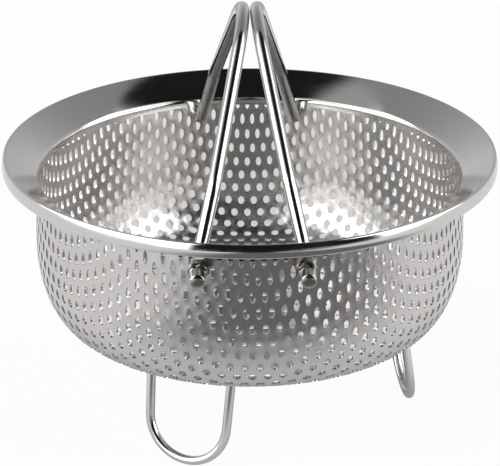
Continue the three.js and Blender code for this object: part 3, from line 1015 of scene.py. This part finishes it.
@dataclass
class FlangeRing:
    """The polished funnel flange, with a neck in the bowl and a hem turned down outside."""

    sheet: float = 0.8 * MM
    neck_radius: float = 102.05 * MM
    neck_depth: float = 4 * MM
    mouth_bend: float = 3.4 * MM
    width: float = 17.92 * MM
    slope: float = math.radians(33.5)
    crest_bend: float = 0.9 * MM
    hem_height: float = 6.6 * MM
    hem_lean: float = 0.95 * MM
    hem_drop: float = 3.7 * MM
    hem_bend: float = 6 * MM
    curl_bend: float = 0.9 * MM
    curl_reach: float = 1.9 * MM
    segments: int = 288
    bend_step: float = math.radians(12)

    @property
    def crest_drop(self) -> float:
        """Works out how far the crest's bend stays under its sharp corner.

        Returns:
            The drop.
        """
        turn = self.slope + math.atan2(self.hem_drop, self.hem_lean)
        tangent = math.tan(turn / 2)
        return self.crest_bend * (tangent * math.sin(self.slope) + math.cos(self.slope) - 1)

    def build(self, shop: SteelShop) -> None:
        """Makes the ring.

        Args:
            shop: Where its steel comes from.
        """
        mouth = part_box("perforated_bowl")[1].z + SEAT_GAP
        rim = self.neck_radius + self.width
        crest = mouth + (self.width - self.hem_lean) * math.tan(self.slope)
        hem = crest - self.crest_drop - self.hem_height
        places = [
            (self.neck_radius, mouth - self.neck_depth, 0.0),
            (self.neck_radius, mouth, self.mouth_bend),
            (rim - self.hem_lean, crest, self.crest_bend),
            (rim, hem + self.hem_height - self.hem_drop, self.hem_bend),
            (rim, hem, self.curl_bend),
            (rim - self.curl_reach, hem, 0.0),
        ]
        corners = [Corner(Vector((radius, 0, height)), bend) for radius, height, bend in places]
        section = rounded(corners, self.bend_step)
        top = [point for point, _ in section]
        under = [point + Vector((along.z, 0, -along.x)) * self.sheet for point, along in section]
        # The neck's outer face, in the narrow gap against the bowl, gets painted shade.
        finish = replace(POLISHED_SHEET, seam=(self.neck_radius + self.sheet / 2, mouth))
        ring = TurnedSheetTree().make(
            "flange", guide_mesh(top + under[::-1], closed=True), sweep_radius=self.neck_radius,
            segments=self.segments, material=shop.material(finish),
        )
        fit(ring, Body.BASKET, ["flange_ring"])


@dataclass
class WireLeg:
    """A wire U under the floor, with two tabs turned in for welding."""

    node: str
    foot: Vector
    wire: float = 4.4 * MM
    top_width: float = 43.4 * MM
    foot_width: float = 40 * MM
    foot_fill: float = 0.999
    splay: float = math.radians(8.6)
    tab: float = 15 * MM
    tab_bend: float = 6 * MM
    foot_flat: float = 0.3 * MM
    tip: float = 0.8 * MM
    tip_girth: float = 0.72
    facets: int = 20
    bend_steps: int = 16

    def corners(self) -> list[Corner]:
        """Works out the bends of the wire in the leg's own plane.

        Returns:
            The corners from one tab to the other.
        """
        tab_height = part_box("perforated_bowl")[0].z - SEAT_GAP - self.wire / 2
        foot_height = self.wire / 2 - self.foot_flat
        foot_radius = self.foot.length
        weld_radius = foot_radius - (tab_height - foot_height) * math.tan(self.splay)
        half_top, half_foot = self.top_width / 2, self.foot_width / 2
        knee = Vector((weld_radius, half_top, tab_height))
        foot = Vector((foot_radius, half_foot, foot_height))
        foot_bend = half_foot / math.tan((foot - knee).angle(Vector((0, -1, 0))) / 2)
        tab_end = Vector((weld_radius - self.tab, half_top, tab_height))
        half = [
            Corner(tab_end, girth=self.tip_girth),
            Corner(tab_end + Vector((self.tip, 0, 0))),
            Corner(knee, self.tab_bend),
            Corner(foot, foot_bend * self.foot_fill),
        ]
        return half + other_half(half)

    def build(self, shop: SteelShop, rods: BentRodTree) -> None:
        """Makes the leg.

        Args:
            shop: Where its steel comes from.
            rods: The tree that bends it.
        """
        turn = Matrix.Rotation(math.atan2(self.foot.y, self.foot.x), 4, "Z")
        leg = rods.bend(
            self.node.replace("leg_", "wire_leg_"), self.corners(), turn, diameter=self.wire,
            facets=self.facets, bend_steps=self.bend_steps, material=shop.material(LEG_WIRE),
        )
        fit(leg, Body.BASKET, [self.node])


@dataclass
class FoldingHandle:
    """An arched rod that swings on two studs, with a washer and a cap nut outside the wall on each."""

    pivot: Pivot
    rod: float = 6.4 * MM
    rod_facets: int = 28
    bend_steps: int = 22
    crown_gap: float = 0.1 * MM
    crown_bend: float = 43.5 * MM
    knee_height: float = 33 * MM
    knee_inset: float = 16 * MM
    knee_bend: float = 25 * MM
    root_bend: float = 7 * MM
    root_straight: float = 1.6 * MM
    shoulder: float = 99.18 * MM
    shoulder_step: float = 0.01 * MM
    stud: float = 4 * MM
    stud_tip: float = 0.8
    stud_grip: float = 6.5 * MM
    chamfer: float = 0.4 * MM
    washer: float = 9 * MM
    washer_thickness: float = 1 * MM
    washer_edge: float = 0.15 * MM
    washer_segments: int = 40
    nut_flats: float = 7.6 * MM
    nut_face: float = 0.96
    nut_chamfer: float = math.radians(60)
    nut_hex: float = 3.2 * MM
    nut_levels: tuple[float, ...] = (0.0, 0.08, 0.16, 0.26, 0.38, 0.5)
    nut_fillet: float = 0.45 * MM
    fillet_sag: float = 0.3
    nut_cap: float = 7.1 * MM
    nut_height: float = 11.2 * MM
    nut_crown: float = 1.1 * MM
    crown_steps: int = 14
    nut_segments: int = 48

    def __post_init__(self) -> None:
        """Reads the lean, the height and the fasteners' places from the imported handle."""
        label, centre = self.pivot.side.label, self.pivot.centre
        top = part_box(f"handle_{label}")[1].z
        aside = abs(centre.x) - (self.rod + self.crown_gap) / 2
        above = top - centre.z - self.rod / 2
        self.turn = -self.pivot.side.value * math.atan2(aside, above)
        self.arch_height = math.hypot(aside, above)
        self.washer_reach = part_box(f"washer_{label}_back")[0].y
        self.nut_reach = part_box(f"cap_nut_{label}_back")[0].y

    def corners(self) -> list[Corner]:
        """Works out the bends of the rod in its own plane, from stud to stud.

        Returns:
            The corners, with the studs as thinner ends.
        """
        leg_angle = math.atan2(self.knee_height, self.knee_inset)
        root = self.shoulder - self.root_straight - self.root_bend * math.tan(leg_angle / 2)
        knee = Vector((root - self.knee_inset, self.knee_height))
        crown_centre = self.arch_height - self.crown_bend
        to_knee = knee - Vector((0, crown_centre))
        tangent = math.atan2(to_knee.y, to_knee.x) + math.acos(self.crown_bend / to_knee.length)
        apex = crown_centre + self.crown_bend / math.sin(tangent)
        stud_end = self.nut_reach + self.stud_grip
        thin = self.stud / self.rod
        half = [
            (stud_end, 0, 0, thin * self.stud_tip),
            (stud_end - self.chamfer, 0, 0, thin),
            (self.shoulder, 0, 0, thin),
            (self.shoulder - self.shoulder_step, 0, 0, 1 - 2 * self.chamfer / self.rod),
            (self.shoulder - self.chamfer, 0, 0, 1),
            (root, 0, self.root_bend, 1),
            (knee.x, knee.y, self.knee_bend, 1),
        ]
        near = [Corner(Vector((0, y, z)), bend, girth) for y, z, bend, girth in half]
        return [*near, Corner(Vector((0, 0, apex)), self.crown_bend), *other_half(near)]

    def washer_mesh(self) -> bpy.types.Mesh:
        """Turns a washer from its bearing face at y = 0.

        Returns:
            The washer.
        """
        inner, outer, edge = self.pivot.bore / 2, self.washer / 2, self.washer_edge
        thick = self.washer_thickness
        outline = [
            (inner, edge), (inner, thick - edge), (inner + edge, thick), (outer - edge, thick),
            (outer, thick - edge), (outer, edge), (outer - edge, 0.0), (inner + edge, 0.0),
        ]
        return turned_mesh("washer", round_rows(outline), self.washer_segments)

    def nut_row(self, height: float) -> Row:
        """Gives one row of the nut's hexagon, its corners taken off by the end chamfers.

        Args:
            height: Height of the row.
        Returns:
            The row's rule.
        """
        half_flats, sixth = self.nut_flats / 2, FULL_TURN / 6
        end = min(height, self.nut_hex - height)
        widest = half_flats * self.nut_face + end * math.tan(self.nut_chamfer)

        def row(angle: float) -> tuple[float, float]:
            """Finds the radius and the height at an angle round the nut."""
            off = (angle % sixth) - sixth / 2
            return min(half_flats / math.cos(off), widest), height

        return row

    def nut_mesh(self) -> bpy.types.Mesh:
        """Turns a cap nut from its bearing face at y = 0: chamfered hexagon, fillet and low-crowned cap.

        Returns:
            The nut.
        """
        cap, bore, fillet = self.nut_cap / 2, self.pivot.bore / 2, self.nut_fillet
        sag, depth = fillet * self.fillet_sag, self.stud_grip + SEAT_GAP
        levels = [level * MM for level in self.nut_levels]
        heights = levels + [self.nut_hex - level for level in reversed(levels)]
        bored = [(0.0, depth), (bore, depth), (bore, 0.0)]
        capped = [
            (cap + fillet, self.nut_hex), (cap + sag, self.nut_hex + sag), (cap, self.nut_hex + fillet),
        ]
        for k in range(self.crown_steps):
            angle = math.pi / 2 * k / self.crown_steps
            rise = self.nut_crown * math.sin(angle)
            capped.append((cap * math.cos(angle), self.nut_height - self.nut_crown + rise))
        capped.append((0.0, self.nut_height))
        rows = round_rows(bored) + [self.nut_row(height) for height in heights] + round_rows(capped)
        return turned_mesh("cap_nut", rows, self.nut_segments)

    def build(self, shop: SteelShop, rods: BentRodTree, pairs: FastenerPairTree) -> None:
        """Makes the rod and its fasteners.

        Args:
            shop: Where the steel comes from.
            rods: The tree that bends the rod.
            pairs: The tree that sets the fasteners.
        """
        label, body, centre = self.pivot.side.label, self.pivot.body, self.pivot.centre
        place = Matrix.Translation(centre) @ Matrix.Rotation(self.turn, 4, "Y")
        rod = rods.bend(
            f"rod_{label}", self.corners(), place, diameter=self.rod, facets=self.rod_facets,
            bend_steps=self.bend_steps, material=shop.material(POLISHED_ROD),
        )
        fit(rod, body, [f"handle_{label}"])
        for kind, mesh, reach in (
            ("washer", self.washer_mesh(), self.washer_reach), ("cap_nut", self.nut_mesh(), self.nut_reach)
        ):
            pair = pairs.make(
                f"{kind}s_{label}", mesh, reach=reach, lean=self.turn, pivot=tuple(centre),
                material=shop.material(FASTENER),
            )
            fit(pair, body, [f"{kind}_{label}_{end}" for end in ("front", "back")])


# Studio


@dataclass
class Studio:
    """White floor, bright panels at both sides, a dark gap between them, a grey wall behind and the camera.

    The dome's values are parts of a unit direction: gap and spread along x, the wall's start along y and
    fades along z. The floor's are metres: the apron is a darker patch in front, under a painted shadow below
    the basket that only the metal sees, far the grey at the back, and the shade a painted shadow behind
    the basket.
    """

    look_at: tuple[float, float, float] = (0.000109, 0.0, 0.09415)
    distance: float = 1.08
    elevation: float = math.radians(23.19)
    azimuth: float = math.radians(-0.75)
    lens: float = 157.56
    panel: float = 3.2
    panel_top: float = 0.5
    panel_fade: tuple[float, float] = (0.7, 0.86)
    gap_middle: float = 0.06
    gap_foot: float = 0.2
    gap_zenith: float = 0.35
    gap_level: float = 0.66
    gap_edge: float = 0.04
    gap_light: float = 0.015
    wall_start: float = 0.3
    wall_edge: float = 0.02
    wall_low: float = 0.87
    wall_high: float = 0.36
    wall_fade: tuple[float, float] = (0.0, 0.85)
    wall_middle: float = 0.8
    wall_spread: tuple[float, float] = (0.1, 0.34)
    floor_size: float = 6.0
    floor_gap: float = 0.2 * MM
    floor_colour: tuple[float, float, float, float] = (0.85, 0.85, 0.85, 1.0)
    floor_white: float = 0.95
    floor_light: float = 0.84
    apron: tuple[float, float, float] = (-0.18, 0.42, -0.16)
    apron_edge: float = 0.12
    apron_light: float = 0.16
    under_middle: float = 0.05
    under: tuple[float, float] = (0.03, 0.2)
    under_shadow_light: float = 0.16
    far: tuple[float, float] = (0.35, 0.8)
    far_light: float = 0.5
    shade_centre: tuple[float, float] = (0.0, 0.26)
    shade_reach: tuple[float, float] = (0.124, 0.235)
    shade_power: float = 3.0
    shade_tone: float = 0.62

    def build(self) -> None:
        """Sets up the light, the floor, the camera and the view."""
        self.dome()
        self.floor()
        self.camera()
        bpy.context.scene.view_settings.view_transform = "Standard"

    def dome(self) -> None:
        """Lights the scene by direction: panels, gap and back wall; the camera sees it pale and even."""
        world = bpy.data.worlds.new("studio")
        bpy.context.scene.world = world
        write = cleared(world)
        x, y, z = write.split(write.add("ShaderNodeTexCoord").outputs["Generated"])
        upward = write.math("MAXIMUM", z, 0.0)
        gap = write.mix(upward, self.gap_level, self.gap_zenith)
        leaning = write.mix(upward, self.gap_foot, self.gap_middle)
        beside = write.minus(write.math("ABSOLUTE", write.minus(x, leaning)), gap)
        panel = write.ease(z, *self.panel_fade, self.panel, self.panel_top)
        front = write.ease(beside, -self.gap_edge, self.gap_edge, self.gap_light, panel)
        sideways = write.math("ABSOLUTE", write.minus(x, self.gap_middle))
        wall = write.ease(z, *self.wall_fade, self.wall_low, self.wall_high)
        back = write.times(wall, write.ease(sideways, *self.wall_spread, self.wall_middle, 1.0))
        in_front = write.ease(y, self.wall_start + self.wall_edge, self.wall_start - self.wall_edge)
        light = write.mix(in_front, back, front)
        seen = write.add("ShaderNodeLightPath").outputs["Is Camera Ray"]
        sky = write.out("ShaderNodeBackground", Strength=write.mix(seen, light, 1.0))
        write.add("ShaderNodeOutputWorld", Surface=sky)

    def floor(self) -> None:
        """Lays the floor, which glows white for the camera and the metal and keeps the object's shadow."""
        half = self.floor_size / 2
        ends = ((-half, -half), (half, -half), (half, half), (-half, half))
        mesh = bpy.data.meshes.new("floor")
        mesh.from_pydata([(x, y, -self.floor_gap) for x, y in ends], [], [(0, 1, 2, 3)])
        floor = put("floor", mesh)
        material = bpy.data.materials.new("floor")
        write = cleared(material)
        path = write.add("ShaderNodeLightPath")
        mirrored = path.outputs["Is Glossy Ray"]
        glow = write.out("ShaderNodeEmission", Strength=self.glow(write, mirrored))
        matt = write.out("ShaderNodeBsdfDiffuse", Color=self.floor_colour)
        seen = write.math("MAXIMUM", path.outputs["Is Camera Ray"], mirrored)
        shown = write.out("ShaderNodeMixShader", write.times(seen, self.floor_white), matt, glow)
        write.add("ShaderNodeOutputMaterial", Surface=shown)
        mesh.materials.append(material)

    def glow(self, write: NodeWriter, mirrored: Socket) -> Socket:
        """Works out how bright the floor looks: white to the camera, darker in the metal, with painted
        shadows under and behind the basket.

        Args:
            write: The writer of the floor's material.
            mirrored: 1 for a ray that the metal reflects.
        Returns:
            The strength of the floor's glow.
        """
        x, y, _ = write.split(write.add("ShaderNodeTexCoord").outputs["Object"])
        (left, right, start), edge = self.apron, self.apron_edge
        dark = write.times(
            write.ease(x, left - edge, left + edge), write.ease(x, right + edge, right - edge),
            write.ease(y, start + edge, start - edge),
        )
        apron = write.mix(dark, 1.0, self.apron_light)
        # Painted shadow: the floor that the metal sees grows darker near the basket.
        from_middle = write.length(x, write.minus(y, self.under_middle))
        near = write.ease(from_middle, *self.under, self.under_shadow_light, self.floor_light)
        far = write.ease(y, *self.far, 1.0, self.far_light)
        reflected = write.mix(mirrored, 1.0, write.times(apron, near, far))
        # Painted shadow: a soft darker patch in the floor's glow behind the basket.
        powers = []
        for place, centre, reach in zip((x, y), self.shade_centre, self.shade_reach):
            off = write.math("ABSOLUTE", write.math("DIVIDE", write.minus(place, centre), reach))
            powers.append(write.math("POWER", off, self.shade_power))
        shade = write.ease(write.math("ADD", *powers), 1.0, 0.0)
        return write.times(reflected, write.mix(shade, 1.0, self.shade_tone))

    def camera(self) -> None:
        """Sets the camera where the photograph was taken from."""
        data = bpy.data.cameras.new("camera")
        data.lens = self.lens
        camera = put("camera", data)
        flat = math.cos(self.elevation)
        aside, behind = math.sin(self.azimuth) * flat, -math.cos(self.azimuth) * flat
        back = Vector((aside, behind, math.sin(self.elevation)))
        camera.location = Vector(self.look_at) + back * self.distance
        camera.rotation_mode = "QUATERNION"
        camera.rotation_quaternion = (-back).to_track_quat("-Z", "Y")
        bpy.context.scene.camera = camera


@dataclass
class SteamerBasket:
    """The whole basket."""

    legs: tuple[str, ...] = ("front_left", "right", "back_left")

    def build(self) -> None:
        """Makes every piece."""
        shop = SteelShop()
        rods, pairs = BentRodTree(), FastenerPairTree()
        pivots = [Pivot(side) for side in Side]
        PerforatedBowl().build(shop, pivots[0])
        FlangeRing().build(shop)
        feet = {mount["name"]: Vector(mount["pos_m"]) for mount in frame["record"]["mounts"]}
        for leg in self.legs:
            WireLeg(f"leg_{leg}", feet[f"foot_{leg}"]).build(shop, rods)
        for pivot in pivots:
            FoldingHandle(pivot).build(shop, rods, pairs)


def main() -> None:
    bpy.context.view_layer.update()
    SteamerBasket().build()
    Studio().build()


if __name__ == "__main__":
    main()
